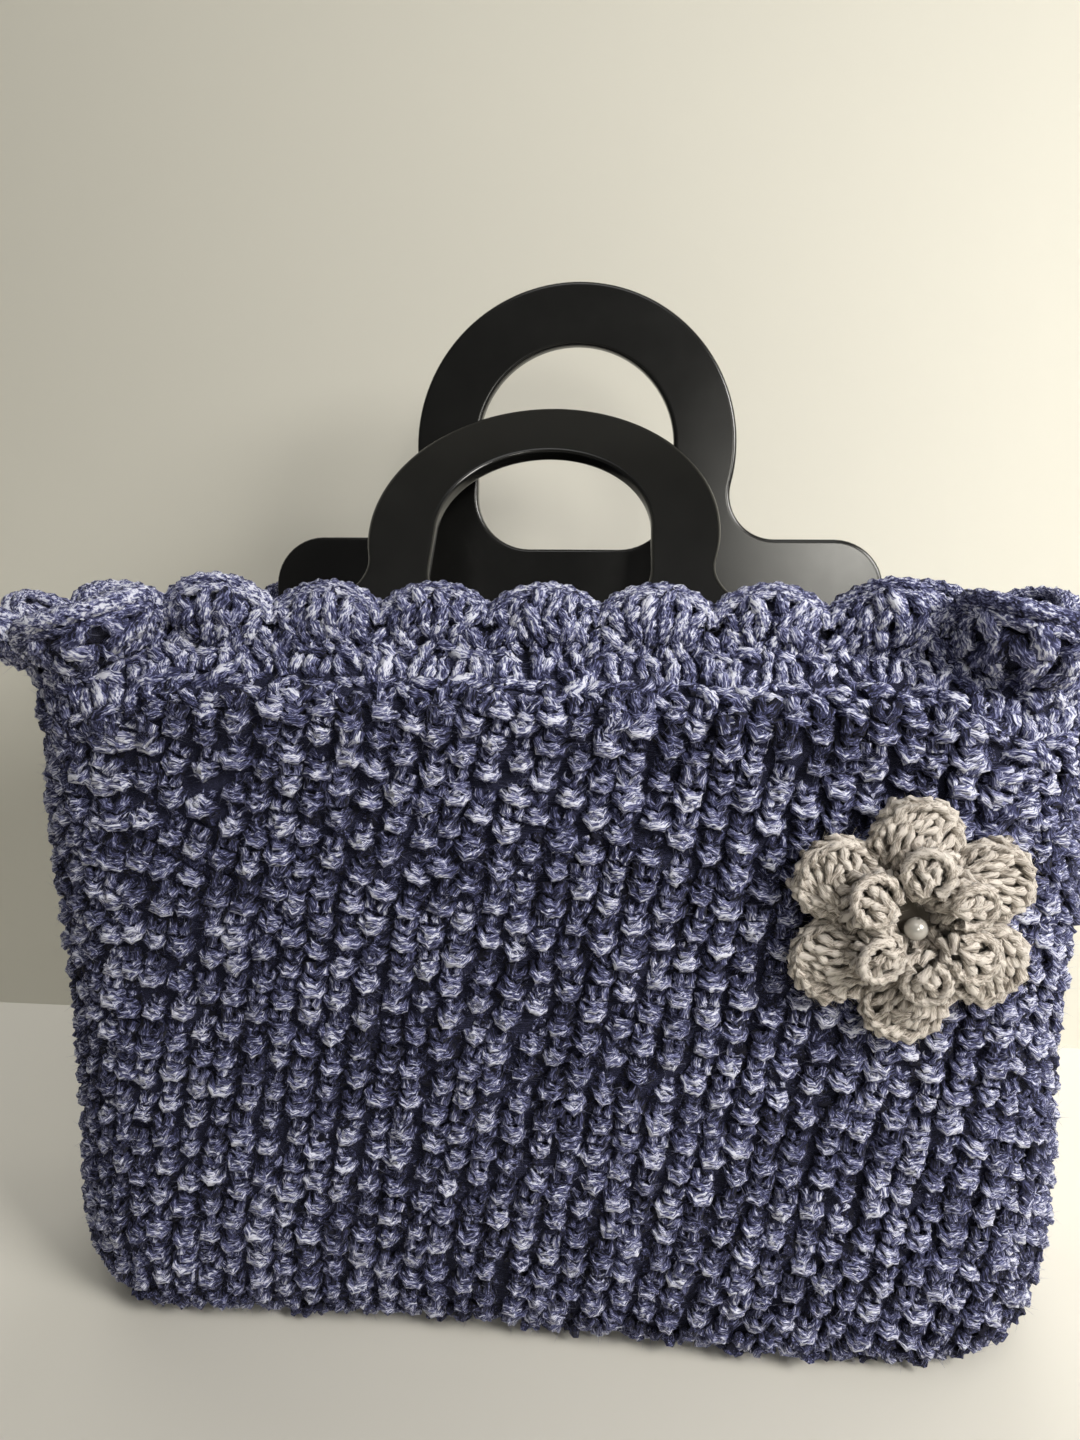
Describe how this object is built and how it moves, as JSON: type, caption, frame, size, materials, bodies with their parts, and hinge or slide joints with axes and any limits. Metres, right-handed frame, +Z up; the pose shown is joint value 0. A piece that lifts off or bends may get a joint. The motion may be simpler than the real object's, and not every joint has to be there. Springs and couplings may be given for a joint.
{
  "type": "crochet tote bag",
  "caption": "Soft crocheted tote bag that stands by itself, with a scalloped shell border, flat arched plate handles tucked inside the rim and a crocheted flower with a pearl bead on the front.",
  "frame": {"origin": "middle of the flat base, on the surface that the bag stands on", "axes": "+Z up out of the mouth, +X to the right as the front is seen, the front with the flower faces -Y"},
  "size_m": [0.3662, 0.1361, 0.3461],
  "materials": {
    "bag_yarn": "heathered blue-violet crochet yarn, soft and slightly fuzzy",
    "handle_black": "satin black",
    "petal_yarn": "taupe grey crochet yarn",
    "pearl": "pearl lustre"
  },
  "bodies": {
    "root": {"bag_body": "bag_yarn", "scallop_border": "bag_yarn", "handle_front": "handle_black", "handle_back": "handle_black", "flower_outer_petals": "petal_yarn", "flower_inner_petals": "petal_yarn", "flower_pearl": "pearl"}
  },
  "joints": []
}
